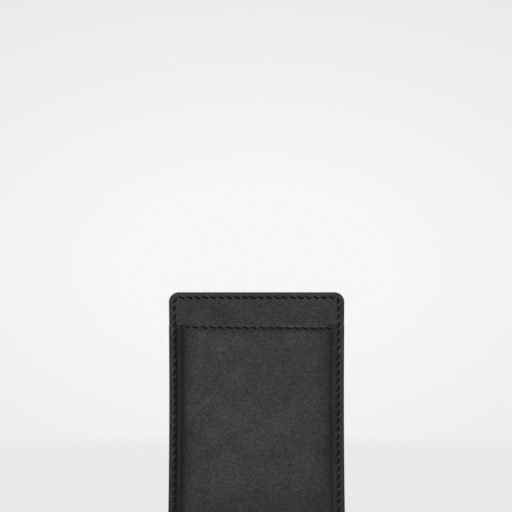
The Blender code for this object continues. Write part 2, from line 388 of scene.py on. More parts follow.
def point_normals(points, quads):
    """Unit normals at points, from the faces round each."""
    a, b, c, d = (points[quads[:, i]] for i in range(4))
    facing = np.cross(c - a, d - b)
    normals = np.zeros_like(points)
    for corner in range(4):
        np.add.at(normals, quads[:, corner], facing)
    return normals / np.linalg.norm(normals, axis=1, keepdims=True)


def dress(name, points, faces, material, masks=None):
    """Piece from nominal points and faces that rides on the holder and stands for its node."""
    shape = bpy.context.scene.card_holder.shape
    points = np.array(points, float)
    points[:, 0] = drawn_in(shape, points[:, 0], points[:, 2])
    mesh = bpy.data.meshes.new(name)
    mesh.from_pydata(points.tolist(), [], [list(map(int, face)) for face in faces])
    mesh.shade_smooth()
    mesh.set_sharp_from_angle(angle=SHARP)
    for label, values in (masks or {}).items():
        layer = mesh.attributes.new(label, "FLOAT", "POINT")
        full = np.zeros(len(points), np.float32)
        full[: len(values)] = values
        layer.data.foreach_set("value", full)
    mesh.materials.append(material)
    piece = bpy.data.objects.new(f"{name}_dressed", mesh)
    bpy.context.scene.collection.objects.link(piece)
    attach(piece, "root")
    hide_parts(name)
    return piece


# Seams


class Seam:
    """A line of stitches: where each lies, and the surface that they lie on.

    The place function gives world points for distances along the seam, across it and below the
    surface. The flat function gives plan points for distances along and across.
    """

    def __init__(self, total, pitch, phase, place, flat, seed):
        stitching = bpy.context.scene.card_holder.stitching
        count = max(1, round(total / pitch))
        chance = np.random.default_rng(stitching.seed + seed)
        spread = chance.normal(size=(3, count))
        step = total / count
        self.middles = (np.arange(count) + phase) * step + PLACE_SPREAD * step * spread[0]
        self.slants = stitching.slant * (1 + SLANT_SPREAD * spread[1])
        self.lengths = stitching.length * (1 + LENGTH_SPREAD * spread[2])
        self.place = place
        self.flat = flat


def measured(line, closed):
    """A line's points, with the first repeated if it is closed, and the distance to each."""
    points = np.concatenate([line, line[:1]]) if closed else line
    steps = np.linalg.norm(np.diff(points, axis=0), axis=1)
    return points, np.concatenate([[0.0], np.cumsum(steps)])


def along_line(points, run, s):
    """Points and unit directions at distances along a line."""

    def at(distance):
        return np.stack([np.interp(distance, run, points[:, i]) for i in range(2)], -1)

    reach = 0.2 * MM
    ahead = at(s + reach) - at(s - reach)
    return at(s), ahead / np.linalg.norm(ahead, axis=-1, keepdims=True)


def strip_step(z):
    """World Y of the front surface under the edge seam, which steps down at the mouth."""
    return BORDER_Y + (STRIP_Y - BORDER_Y) * eased(z, LIP, LIP + STEP_DROP)


def mouth_line(x):
    """Height of the mouth seam, which runs a little out of level."""
    holder = bpy.context.scene.card_holder
    return MOUTH_SEAM - holder.stitching.fall * x / holder.shape.width


def edge_seam(shape, stitching, front):
    """Seam round the whole edge, on the front or on the back."""
    fine = np.linspace(0, 1, 400)
    plan = closed_plan(shape, shape.seam_inset, shape.corner - shape.seam_inset, fine, fine)
    points, run = measured(plan, True)

    def flat(s, t):
        where, ahead = along_line(points, run, s % run[-1])
        inward = np.stack([ahead[..., 1], -ahead[..., 0]], -1)
        return where + inward * t[..., None]

    def place(s, t, depth):
        plan_points = flat(s, t)
        surface = strip_step(plan_points[..., 1]) if front else REAR_Y
        y = surface + depth if front else surface - depth
        return np.stack([plan_points[..., 0], y, plan_points[..., 1]], -1)

    return Seam(run[-1], stitching.pitch, EDGE_PHASE, place, flat, 0 if front else 1)


def mouth_seam(shape, stitching):
    """Seam along the mouth, over the pocket's face and down its shoulders."""
    half = pocket_rows(shape, 0.0, COARSE)[:2]
    keep = half[0] >= shape.foot_inset
    left = np.stack([half[0][keep] - shape.width / 2, half[1][keep]], 1)
    points, run = measured(np.concatenate([left, left[::-1] * (-1, 1)]), False)

    def flat(s, t):
        where, _ = along_line(points, run, s)
        return np.stack([where[..., 0], mouth_line(where[..., 0]) - t], -1)

    def place(s, t, depth):
        where, ahead = along_line(points, run, s)
        below = np.stack([-ahead[..., 1], ahead[..., 0]], -1)
        section = where + below * depth[..., None]
        return np.stack([section[..., 0], section[..., 1], mouth_line(where[..., 0]) - t], -1)

    return Seam(run[-1], stitching.mouth_pitch, MOUTH_PHASE, place, flat, 2)


def mouth_seam_reverse(shape, stitching):
    """Run of the mouth seam on the lining, inside the pocket."""
    end = face_inset(shape) - shape.width / 2

    def flat(s, t):
        return np.stack([end + s, mouth_line(end + s) - t], -1)

    def place(s, t, depth):
        y = np.full_like(s, FACE_Y + LAYERS_OFFSET) + stitching.sink - depth
        return np.stack([end + s, y, mouth_line(end + s) - t], -1)

    return Seam(-2 * end, stitching.mouth_pitch, REVERSE_PHASE, place, flat, 3)


def seam_dents(stitching, seam, plan, keep):
    """How deep a seam's stitches press into a surface, at plan points, and where they pierce it."""
    pressed = np.zeros(len(plan))
    pierced = np.zeros(len(plan))
    width = 0.42 * MM
    hole_width = 0.30 * MM
    end_share = 0.56
    for middle, slant, length in zip(seam.middles, seam.slants, seam.lengths):
        s = middle + np.array([-0.5, 0.5]) * length * math.cos(slant)
        ends = seam.flat(s, np.array([-0.5, 0.5]) * length * math.sin(slant))
        centre = ends.mean(0)
        if not keep(centre):
            continue
        reach = np.linalg.norm(ends[1] - ends[0])
        near = np.flatnonzero(np.abs(plan - centre).max(1) < length)
        along = (ends[1] - ends[0]) / reach
        off = plan[near] - centre
        a = off @ along
        b = off @ np.array([-along[1], along[0]])
        pressed[near] += hump(b, 0.0, width) / (1 + (a / (end_share * reach)) ** 8)
        for end in (-0.5, 0.5):
            pierced[near] += np.exp(-(((a - end * reach) ** 2 + b**2) / hole_width**2))
    return stitching.dent * pressed + stitching.hole * pierced, np.clip(pressed + pierced, 0, 1)


def thread(name, seam, material):
    """Twisted stitches of one seam. Each rises from its hole, lies slanted and goes down again."""
    stitching = bpy.context.scene.card_holder.stitching
    steps = np.linspace(-1, 1, 19)
    around = np.linspace(0, 2 * math.pi, 12, endpoint=False)
    half = seam.lengths[:, None] / 2 * steps
    s = seam.middles[:, None] + half * np.cos(seam.slants)[:, None]
    t = half * np.sin(seam.slants)[:, None]
    depth = stitching.sink + DIVE * np.abs(steps) ** 5 + np.zeros_like(s)
    middle = seam.place(s, t, depth)
    above = seam.place(s, t, depth - 0.1 * MM) - middle
    ahead = np.gradient(middle, axis=1)
    ahead /= np.linalg.norm(ahead, axis=2, keepdims=True)
    aside = np.cross(ahead, above)
    aside /= np.linalg.norm(aside, axis=2, keepdims=True)
    up = np.cross(aside, ahead)
    turn = (seam.middles[:, None] + half) / stitching.twist * 2 * math.pi
    plies = 1 + PLY_DEPTH * np.cos(PLIES * (around - turn[..., None]))
    taper = 1 - END_TAPER * np.abs(steps) ** 6
    radius = stitching.thread / 2 * plies * taper[None, :, None]
    ring = up[:, :, None] * np.cos(around)[:, None] + aside[:, :, None] * np.sin(around)[:, None]
    points = (middle[:, :, None] + ring * radius[..., None]).reshape(-1, 3)
    count = len(around)
    rows = len(steps)
    one = loop_quads(rows, count, True)
    starts = np.arange(len(s)) * rows * count
    faces = (one + starts[:, None, None]).reshape(-1, 4).tolist()
    for start in starts:
        faces.append(list(range(start + count - 1, start - 1, -1)))
        last = start + (rows - 1) * count
        faces.append(list(range(last, last + count)))
    return dress(name, points, faces, material)


# Leather


def face_inset(shape):
    """Inset at which the pocket's face is flat."""
    bends = shape.foot_radius + shape.shoulder_radius
    slope = shape.wall_slope
    straight = BORDER_Y - FACE_Y - bends * (1 - math.cos(slope))
    return shape.foot_inset + bends * math.sin(slope) + straight / math.tan(slope)


def pocket_rows(shape, offset, counts):
    """Inset, world Y and plan corner radius of the pocket's rows, from its edge to its face.

    The counts are the steps across the border, the foot, the wall, the shoulder and the face.
    """
    border, foot, wall, shoulder, flat = counts
    flat_inset = face_inset(shape)
    up = np.linspace(0, shape.wall_slope, foot + 1)
    over = np.linspace(shape.wall_slope, 0, shoulder + 1)
    foot_reach = shape.foot_radius + offset
    shoulder_reach = shape.shoulder_radius - offset
    foot_x = shape.foot_inset + foot_reach * np.sin(up)
    foot_y = BORDER_Y - shape.foot_radius + foot_reach * np.cos(up)
    over_x = flat_inset - shoulder_reach * np.sin(over)
    over_y = FACE_Y + shape.shoulder_radius - shoulder_reach * np.cos(over)
    rise = np.linspace(0, 1, wall + 1)[1:-1]
    edge_x = np.linspace(shape.paint, shape.foot_inset, border + 1)[:-1]
    flat_x = np.linspace(flat_inset, flat_inset + shape.face_corner, flat + 1)[1:]
    inset = np.concatenate(
        [edge_x, foot_x, foot_x[-1] + (over_x[0] - foot_x[-1]) * rise, over_x, flat_x]
    )
    y = np.concatenate(
        [
            np.full(border, BORDER_Y + offset),
            foot_y,
            foot_y[-1] + (over_y[0] - foot_y[-1]) * rise,
            over_y,
            np.full(flat, FACE_Y + offset),
        ]
    )
    formed = shape.face_corner + flat_inset - inset
    cut = np.interp(inset, [shape.paint, shape.foot_inset], [shape.corner - shape.paint, 0.0])
    share = np.clip((inset - shape.paint) / (shape.foot_inset - shape.paint), 0, 1)
    at_foot = shape.face_corner + flat_inset - shape.foot_inset
    radius = np.where(share < 1, cut + at_foot * share, formed)
    return inset, y, np.maximum(radius, 0.0)


def formed_points(shape, offset, counts, across, down):
    """Points of a formed pocket surface: its rows from the edge in, then the grid of its face."""
    inset, y, radius = pocket_rows(shape, offset, counts)
    plans = [pocket_plan(shape, d, r, across, down) for d, r in zip(inset, radius)]
    inside = inner_points(plans[-1], across, down, False)
    plan = np.concatenate(plans + [inside])
    depth = np.concatenate([np.repeat(y, len(plans[0])), np.full(len(inside), FACE_Y + offset)])
    return np.stack([plan[:, 0], depth, plan[:, 1]], 1), len(plans), len(plans[0])


def formed_quads(rows, count, across, down):
    """Faces of a formed pocket surface."""
    loop = np.arange(count) + (rows - 1) * count
    grid = filled(loop, len(across) - 1, len(down) - 1, False, rows * count)
    return np.concatenate([loop_quads(rows, count, False), grid_quads(grid)[:, ::-1]])


def shares_from_top(length, fine_reach, fine, coarse):
    """Shares down a side, with fine steps near its top and coarse ones below."""
    top = np.linspace(0, fine_reach, round(fine_reach / fine) + 1)
    rest = np.linspace(fine_reach, length, round((length - fine_reach) / coarse) + 1)[1:]
    return np.concatenate([top, rest]) / length


def unevenness(plan):
    """Slow rise and fall of hand-worked leather, from -1 to 1."""
    x, z = (plan / MM).T
    waves = np.sin(0.23 * x + 0.11 * z + 1.3) + np.sin(0.17 * z - 0.09 * x + 4.1)
    return (waves + np.sin(0.41 * x - 0.31 * z) * np.sin(0.19 * z + 2.0)) / 3


def border_shape(shape, inset, swell):
    """Height of a stitched border: rounded at its cut edge and full between edge and seam."""
    full_at = (shape.paint + shape.seam_inset) / 2
    rounding = 0.16 * MM
    return swell * hump(inset, full_at, 0.75 * MM) - rounding * hump(inset, shape.paint, 0.35 * MM)


def channel_depth(shape, stitching, inset):
    """Depth of the channel that the edge seam pulls into a border."""
    return stitching.channel * hump(inset, shape.seam_inset, CHANNEL_REACH)


def border_wear(shape, inset):
    """Mask of the border that hands rub, between the cut edge and the seam."""
    return 1 - eased(inset, shape.seam_inset - 0.9 * MM, shape.seam_inset + 0.3 * MM)


def pocket_painted_shade(plan, inset):
    """How much painted shade darkens the pocket leather, where less light falls on it.

    The painted shade on the walls, shoulders and grooves is a little gentler on the right, and the
    border is painted darker towards the bottom.
    """
    # Painted shade: the walls, shoulders, the groove beside the seam and the low border are
    # darkened where shade falls; the foot is lightened a little.
    right = eased(plan[:, 0], -8 * MM, 8 * MM)
    wall_tone = 0.33 - 0.26 * right
    shoulder_tone = 0.27 + 0.03 * right
    groove_tone = 0.38 - 0.13 * right
    foot_tone = 0.1 + 0.1 * right
    left_tone = 0.05 * (1 - right)
    low_tone = 0.22
    groove_inset = (3.05 + 0.2 * right) * MM
    shoulder_end = (11.5 + 3.5 * right) * MM
    begin = eased(inset, 1.9 * MM, 2.6 * MM)
    wall = wall_tone * (1 - eased(inset, 5.6 * MM, 7.4 * MM))
    shoulder = shoulder_tone * (1 - eased(inset, 7 * MM, shoulder_end))
    groove = groove_tone * hump(inset, groove_inset, 0.45 * MM, 4)
    foot = foot_tone * hump(inset, 4.9 * MM, 0.35 * MM)
    border = left_tone + low_tone * (1 - eased(plan[:, 1], 25 * MM, 60 * MM))
    return (1 - begin) * border + begin * (wall + shoulder + groove - foot)


def face_painted_shade(plan):
    """Painted shade on the pocket's face: darker below the mouth seam and towards the bottom."""
    # Painted shade under the mouth seam and over the lowest part of the face.
    seam_tone = 0.52
    low_tone = 0.22
    below = mouth_line(plan[:, 0]) - plan[:, 1]
    under_seam = seam_tone * eased(below, -0.7 * MM, 0.0) * hump(below, 0.0, 1.7 * MM)
    return under_seam + low_tone * (1 - eased(plan[:, 1], 16 * MM, 27 * MM))


def pocket_front(holder):
    """Formed pocket leather with its stitched border, shoulders, face and lip."""
    shape = holder.shape
    stitching = holder.stitching
    across = np.linspace(0, 1, 131)
    down = shares_from_top(LIP, 4.5 * MM, 0.25 * MM, 0.475 * MM)
    front, rows, count = formed_points(shape, 0.0, FINE, across, down)
    rear, _, _ = formed_points(shape, POCKET_THICKNESS, FINE, across, down)
    quads = turned_out(front, formed_quads(rows, count, across, down), -1)
    plan = front[:, [0, 2]]
    inset = inset_of(shape, plan[:, 0], plan[:, 1])
    on_border = 1 / (1 + np.exp((inset - shape.foot_inset + 0.3 * MM) / (0.08 * MM)))
    on_face = np.clip((inset - face_inset(shape) + 2 * MM) / (4 * MM), 0, 1)
    on_shoulder = eased(inset, 4.8 * MM, 5.8 * MM)
    flat_half = shape.width / 2 - face_inset(shape)
    sewn_half = flat_half + 3.6 * MM

    edge_dents, edge_pierced = seam_dents(
        stitching, edge_seam(shape, stitching, True), plan, lambda at: at[1] < LIP + 0.5 * MM
    )
    mouth_dents, mouth_pierced = seam_dents(
        stitching, mouth_seam(shape, stitching), plan, lambda at: abs(at[0]) < sewn_half
    )
    off_seam = plan[:, 1] - mouth_line(plan[:, 0])
    mouth_channel = stitching.channel * hump(off_seam, 0.0, CHANNEL_REACH)
    rolled_lip = 0.22 * MM * hump(plan[:, 1], LIP, 0.4 * MM)
    crown = shape.crown * np.clip(1 - (plan[:, 0] / flat_half) ** 2, 0, 1) ** 2
    crown *= np.clip(plan[:, 1] / (40 * MM), 0, 1)
    inward = on_border * (edge_dents + channel_depth(shape, stitching, inset))
    inward -= on_border * border_shape(shape, inset, shape.swell)
    inward += on_face * (0.03 * MM * unevenness(plan) - crown)
    inward += on_shoulder * (mouth_dents + mouth_channel) + rolled_lip
    front -= point_normals(front, quads) * inward[:, None]

    # Painted shade: the slopes, hollows and stitch holes go into a mask that darkens the leather's
    # colour.
    painted_dark = pocket_painted_shade(plan, inset) + on_face * face_painted_shade(plan)
    pierced = 0.8 * on_border * edge_pierced + on_shoulder * mouth_pierced
    masks = {
        "wear": border_wear(shape, inset),
        "painted_shade": np.clip(np.maximum(painted_dark, pierced), 0, 1),
        # Painted highlight on the pocket's rolled lip, which faces the light
        "painted_highlight": hump(plan[:, 1], LIP, 0.7 * MM),
    }
    points, faces = shell(front, rear, quads)
    material = leather("grained_leather", holder.finish.leather, holder.finish)
    return dress("pocket_front", points, faces, material, masks)


def flat_leather(holder, name, material, outer_y, inner_y, seam, keep, across, down):
    """Flat leather panel with a stitched border on its outer side."""
    shape = holder.shape
    stitching = holder.stitching
    insets = np.concatenate([np.linspace(shape.paint, 3.6 * MM, 23), [4.2 * MM, 5.0 * MM]])
    plans = [closed_plan(shape, d, max(shape.corner - d, 0.0), across, down) for d in insets]
    inside = inner_points(plans[-1], across, down, True)
    plan = np.concatenate(plans + [inside])
    count = len(plans[0])
    loop = np.arange(count) + (len(plans) - 1) * count
    grid = filled(loop, len(across) - 1, len(down) - 1, True, len(plans) * count)
    quads = np.concatenate([loop_quads(len(plans), count, True), grid_quads(grid)])

    outwards = math.copysign(1, outer_y - inner_y)
    inset = inset_of(shape, plan[:, 0], plan[:, 1])
    dents, pierced = seam_dents(stitching, seam, plan, keep)
    channel = channel_depth(shape, stitching, inset)
    inward = dents + channel - border_shape(shape, inset, 0.4 * shape.swell)
    inward *= np.array([keep(at) for at in plan], float)
    inward += 0.02 * MM * unevenness(plan)
    outer = np.stack([plan[:, 0], outer_y - outwards * inward, plan[:, 1]], 1)
    inner = np.stack([plan[:, 0], np.full(len(plan), inner_y), plan[:, 1]], 1)
    at_mouth = hump(plan[:, 1], MOUTH, 1.6 * MM) * (outer_y == STRIP_Y)
    at_top = eased(plan[:, 1], shape.height - 2.1 * MM, shape.height - 1.2 * MM)
    # Painted shade in the stitch holes; painted highlight near the mouth and along the top edge,
    # where light falls on them.
    masks = {
        "wear": 0.5 * border_wear(shape, inset),
        "painted_shade": 0.5 * pierced,
        "painted_highlight": np.maximum(at_mouth, at_top),
    }
    points, faces = shell(outer, inner, turned_out(outer, quads, outwards))
    return dress(name, points, faces, material, masks)


def inner_facing(holder):
    """Leather that shows as the strip above the mouth and runs down inside the pocket."""
    shape = holder.shape
    seam = edge_seam(shape, holder.stitching, True)
    material = leather("grained_facing", holder.finish.facing, holder.finish)
    across = np.linspace(0, 1, 181)
    down = shares_from_top(shape.height, 14 * MM, 0.35 * MM, 2.5 * MM)

    def above_lip(at):
        return at[1] > LIP

    return flat_leather(
        holder, "inner_facing", material, STRIP_Y, FACING_HIGH.y, seam, above_lip, across, down
    )


def back_panel(holder):
    """Outer leather of the back, stitched all round."""
    seam = edge_seam(holder.shape, holder.stitching, False)
    material = leather("grained_leather", holder.finish.leather, holder.finish)
    across = np.linspace(0, 1, 131)
    down = np.linspace(0, 1, 187)
    return flat_leather(
        holder, "back_panel", material, REAR_Y, BACK_LOW.y, seam, lambda at: True, across, down
    )


def pocket_lining(holder):
    """Woven lining bonded behind the pocket leather."""
    across = np.linspace(0, 1, 41)
    down = np.linspace(0, 1, 61)
    front, rows, count = formed_points(holder.shape, LINING_OFFSET, COARSE, across, down)
    rear, _, _ = formed_points(holder.shape, LAYERS_OFFSET, COARSE, across, down)
    quads = turned_out(front, formed_quads(rows, count, across, down), -1)
    points, faces = shell(front, rear, quads)
    return dress("pocket_lining", points, faces, lining_cloth(holder.finish.lining))


# Painted edges


def edge_coat(holder):
    """Painted edge round all the layers, domed, with a faint ridge where layers meet."""
    shape = holder.shape
    across = np.linspace(0, 1, 121)
    down = shares_from_top(shape.height, 16 * MM, 0.3 * MM, 0.8 * MM)
    around = 0.5 - 0.5 * np.cos(np.linspace(0, math.pi, 17))
    dome = 1 - (1 - np.abs(2 * around - 1) ** 5) ** (1 / 5)
    step = 0.7 * MM
    ridge_depth = 0.012 * MM
    ridge_pitch = 1.2 * MM
    centre = np.array([0.0, shape.height / 2])
    rings = []
    for share, rounding in zip(around, dome):
        inset = shape.paint * rounding
        plan = closed_plan(shape, inset, shape.corner - inset, across, down)
        front = BORDER_Y + (STRIP_Y - BORDER_Y) * eased(plan[:, 1], MOUTH - step, MOUTH)
        y = front + (REAR_Y - front) * share
        ridge = ridge_depth * np.cos(2 * math.pi * (y - REAR_Y) / ridge_pitch) * (1 - rounding)
        out = plan - centre
        plan = plan - ridge[:, None] * out / np.linalg.norm(out, axis=1)[:, None]
        rings.append(np.stack([plan[:, 0], y, plan[:, 1]], 1))
    count = len(rings[0])
    quads = loop_quads(len(rings), count, True)
    last = (len(rings) - 1) * count
    here = np.arange(count)
    after = (here + 1) % count
    inner = np.stack([last + here, last + after, after, here], 1)
    faces = np.concatenate([quads, inner])
    wear = {"wear": np.repeat(dome, count)}
    material = edge_paint(holder.finish.paint)
    return dress("edge_coat", np.concatenate(rings), faces, material, wear)


def mouth_edge_coat(holder):
    """Painted edge along the mouth, over the pocket leather and its lining."""
    shape = holder.shape
    outer = np.stack(pocket_rows(shape, 0.0, COARSE)[:2], 1) - (shape.width / 2, 0)
    inner = np.stack(pocket_rows(shape, LAYERS_OFFSET, COARSE)[:2], 1) - (shape.width / 2, 0)
    bridge = np.linspace(-1, 1, 31)[1:-1, None] * (-outer[-1, 0], 0)
    outer = np.concatenate([outer, bridge + (0, outer[-1, 1]), outer[::-1] * (-1, 1)])
    inner = np.concatenate([inner, bridge + (0, inner[-1, 1]), inner[::-1] * (-1, 1)])
    through = 0.5 - 0.5 * np.cos(np.linspace(0, math.pi, 11))
    dome = (1 - np.abs(2 * through - 1) ** 3) ** (1 / 3)
    rim = 0.06
    rows = []
    for share, height in zip(through, dome):
        section = outer + (inner - outer) * (rim + (1 - 2 * rim) * share)
        z = np.full(len(section), LIP + (MOUTH - LIP) * height)
        rows.append(np.stack([section[:, 0], section[:, 1], z], 1))
    count = len(outer)
    quads = loop_quads(len(rows), count, False)
    last = (len(rows) - 1) * count
    here = np.arange(count - 1)
    under = np.stack([last + here, last + here + 1, here + 1, here], 1)
    faces = np.concatenate([quads, under]).tolist()
    left = [row * count for row in range(len(rows))]
    faces.append(left)
    faces.append([index + count - 1 for index in left[::-1]])
    # The wear mask is highest on the top of the bead, which faces the light: rubbed paint there,
    # and a painted highlight too.
    wear = {"wear": np.repeat(dome, count)}
    material = edge_paint(holder.finish.paint)
    return dress("mouth_edge_coat", np.concatenate(rows), faces, material, wear)


# Shader nodes


def add(tree, kind, inputs=None, **settings):
    """Node of a kind, with its settings and with each input set or linked."""
    made = tree.nodes.new(kind)
    for label, value in settings.items():
        setattr(made, label, value)
    for label, value in (inputs or {}).items():
        if isinstance(value, bpy.types.NodeSocket):
            tree.links.new(value, made.inputs[label])
        else:
            made.inputs[label].default_value = value
    return made


def maths(tree, operation, first, second=0.0, clamp=False):
    """Result of a Math node."""
    inputs = {0: first, 1: second}
    return add(tree, "ShaderNodeMath", inputs, operation=operation, use_clamp=clamp).outputs[0]


def vectors(tree, operation, inputs):
    """Result of a Vector Math node."""
    return add(tree, "ShaderNodeVectorMath", inputs, operation=operation).outputs[0]


def length_of(tree, vector):
    """Length of a vector."""
    return add(tree, "ShaderNodeVectorMath", {0: vector}, operation="LENGTH").outputs["Value"]


def noise(tree, place, scale, detail, roughness=0.5):
    """Value of a noise texture."""
    inputs = {"Vector": place, "Scale": scale, "Detail": detail, "Roughness": roughness}
    return add(tree, "ShaderNodeTexNoise", inputs).outputs["Fac"]


def ranged(tree, value, low, high, to_low=0.0, to_high=1.0):
    """A value carried smoothly from one range to another."""
    inputs = {"Value": value, "From Min": low, "From Max": high}
    inputs |= {"To Min": to_low, "To Max": to_high}
    made = add(tree, "ShaderNodeMapRange", inputs, interpolation_type="SMOOTHSTEP")
    return made.outputs["Result"]


def blend(tree, factor, first, second):
    """Colour between two colours."""
    made = add(tree, "ShaderNodeMix", {0: factor, 6: first, 7: second}, data_type="RGBA")
    return made.outputs[2]


def tinted(tree, base, tint):
    """Colour multiplied by a tint."""
    inputs = {0: 1.0, 6: base, 7: tint}
    made = add(tree, "ShaderNodeMix", inputs, data_type="RGBA", blend_type="MULTIPLY")
    return made.outputs[2]


def rgba(values, scale=1.0):
    """Colour with an alpha of one, brightened or darkened."""
    return (*(min(1.0, value * scale) for value in values), 1.0)


def group(name, inputs, outputs):
    """Node group with number inputs and outputs, and its end nodes."""
    tree = bpy.data.node_groups.new(name, "ShaderNodeTree")
    for label, default in inputs.items():
        socket = tree.interface.new_socket(label, in_out="INPUT", socket_type="NodeSocketFloat")
        socket.default_value = default
    for label in outputs:
        tree.interface.new_socket(label, in_out="OUTPUT", socket_type="NodeSocketFloat")
    return tree, tree.nodes.new("NodeGroupInput"), tree.nodes.new("NodeGroupOutput")


def millimetres(tree):
    """A piece's own coordinates, in millimetres."""
    place = tree.nodes.new("ShaderNodeTexCoord").outputs["Object"]
    return vectors(tree, "SCALE", {0: place, "Scale": 1 / MM})


def bumped(tree, shader, height, strength, distance):
    """Give a shader a bump of a height."""
    inputs = {"Height": height, "Strength": strength, "Distance": distance}
    bump = add(tree, "ShaderNodeBump", inputs)
    tree.links.new(bump.outputs["Normal"], shader.inputs["Normal"])


def pebbled_grain():
    """Fine pebbles with creases between them, pores, and slow changes of tone."""
    if "pebbled_grain" in bpy.data.node_groups:
        return bpy.data.node_groups["pebbled_grain"]
    inputs = {"Pebble Size": 0.9, "Pores": 0.35}
    tree, start, end = group("pebbled_grain", inputs, ("Height", "Shade", "Tone", "Height Tint"))
    place = millimetres(tree)
    warp = add(tree, "ShaderNodeTexNoise", {"Vector": place, "Scale": 0.55, "Detail": 2.0})
    centred = vectors(tree, "SUBTRACT", {0: warp.outputs["Color"], 1: (0.5, 0.5, 0.5)})
    shift = vectors(tree, "SCALE", {0: centred, "Scale": 1.4})
    warped = vectors(tree, "ADD", {0: place, 1: shift})
    density = maths(tree, "DIVIDE", 1.0, start.outputs["Pebble Size"])
    cells = {"Vector": warped, "Scale": density, "Randomness": 1.0}
    edges = add(tree, "ShaderNodeTexVoronoi", cells, feature="DISTANCE_TO_EDGE").outputs["Distance"]
    pebble = ranged(tree, edges, 0.0, 0.42)
    chance = add(tree, "ShaderNodeTexVoronoi", cells, feature="F1").outputs["Color"]
    each = add(tree, "ShaderNodeSeparateColor", {0: chance}).outputs["Red"]
    fineness = maths(tree, "MULTIPLY", density, 2.2)
    small = ranged(tree, noise(tree, warped, fineness, 3.0), 0.3, 0.7)

    pores = maths(tree, "MULTIPLY", small, start.outputs["Pores"])
    lift = maths(tree, "ADD", maths(tree, "MULTIPLY", each, 0.5), 0.5)
    lifted = maths(tree, "MULTIPLY", pebble, lift)
    tree.links.new(maths(tree, "ADD", lifted, pores), end.inputs["Height"])

    by_pebble = maths(tree, "MULTIPLY", each, 0.36)
    by_pore = maths(tree, "MULTIPLY", small, 0.38)
    by_crease = maths(tree, "MULTIPLY", pebble, 0.3)
    mixed = maths(tree, "ADD", maths(tree, "ADD", by_pebble, by_pore), by_crease)
    tree.links.new(ranged(tree, mixed, -0.17, 1.26), end.inputs["Shade"])

    tone = noise(tree, place, 0.12, 4.0, 0.6)
    tree.links.new(ranged(tree, tone, 0.3, 0.7), end.inputs["Tone"])

    cloudy = noise(tree, place, 0.07, 3.0)
    height = add(tree, "ShaderNodeSeparateXYZ", {0: place}).outputs["Z"]
    drifting = maths(tree, "ADD", height, maths(tree, "MULTIPLY", cloudy, 60.0))
    tree.links.new(ranged(tree, drifting, 35.0, 110.0), end.inputs["Height Tint"])
    return tree


def wear_and_painted_light():
    """Rubbed bands, broken up by a fine scatter, and the painted shade and painted highlight of a
    piece.
    """
    if "wear_and_painted_light" in bpy.data.node_groups:
        return bpy.data.node_groups["wear_and_painted_light"]
    tree, _, end = group("wear_and_painted_light", {}, ("Rubbed", "Painted Shade", "Painted Highlight"))
    patchy = ranged(tree, noise(tree, millimetres(tree), 1.1, 4.0, 0.7), 0.35, 0.65, 0.6, 1.0)
    masks = {}
    for label in ("wear", "painted_shade", "painted_highlight"):
        masks[label] = add(tree, "ShaderNodeAttribute", attribute_name=label).outputs["Fac"]
    tree.links.new(maths(tree, "MULTIPLY", masks["wear"], patchy, True), end.inputs["Rubbed"])
    tree.links.new(masks["painted_shade"], end.inputs["Painted Shade"])
    tree.links.new(masks["painted_highlight"], end.inputs["Painted Highlight"])
    return tree


def placed(tree, made_group, **values):
    """Node that places a group in a material, with its own values."""
    node = tree.nodes.new("ShaderNodeGroup")
    node.node_tree = made_group
    for label, value in values.items():
        node.inputs[label.replace("_", " ").title()].default_value = value
    return node


def new_material(name):
    """Material with a Principled shader, and its node tree."""
    material = bpy.data.materials.new(name)
    material.use_nodes = True
    tree = material.node_tree
    return material, tree, tree.nodes["Principled BSDF"]


def leather(name, base, finish):
    """Black leather with a fine pebbled grain, satin on its crests, rubbed along its edges.

    Its colour holds painted shade and a painted highlight.
    """
    if name in bpy.data.materials:
        return bpy.data.materials[name]
    material, tree, shader = new_material(name)
    grain = placed(tree, pebbled_grain(), pebble_size=0.42, pores=0.25)
    wear = placed(tree, wear_and_painted_light())
    pale = blend(tree, grain.outputs["Shade"], rgba(base, 0.1), rgba(base, 2.7))
    dark = blend(tree, grain.outputs["Shade"], rgba(base, 0.1), rgba(base, 1.95))
    toned = blend(tree, grain.outputs["Tone"], dark, pale)
    # The colour drifts slowly with height: a touch less red towards the top and yellower towards
    # the bottom.
    height_tints = blend(tree, grain.outputs["Height Tint"], rgba(finish.lower_tint), rgba(finish.upper_tint))
    worn = blend(tree, wear.outputs["Rubbed"], WHITE, rgba(finish.worn))
    # Painted highlight: a warm brightening where light falls on the lip and the top edge.
    highlighted = blend(tree, wear.outputs["Painted Highlight"], WHITE, HIGHLIGHT_TINT)
    coloured = tinted(tree, tinted(tree, tinted(tree, toned, height_tints), worn), highlighted)
    # Painted shade: near black where the shade mask is full.
    shaded = blend(tree, wear.outputs["Painted Shade"], coloured, rgba(base, 0.1))
    tree.links.new(shaded, shader.inputs["Base Color"])
    satin = ranged(tree, grain.outputs["Shade"], 0.0, 1.0, 0.8, 0.62)
    smoothed = maths(tree, "SUBTRACT", satin, maths(tree, "MULTIPLY", wear.outputs["Rubbed"], 0.08))
    tree.links.new(smoothed, shader.inputs["Roughness"])
    bumped(tree, shader, grain.outputs["Height"], 1.0, 0.09 * MM)
    shader.inputs["Specular IOR Level"].default_value = 0.1
    return material


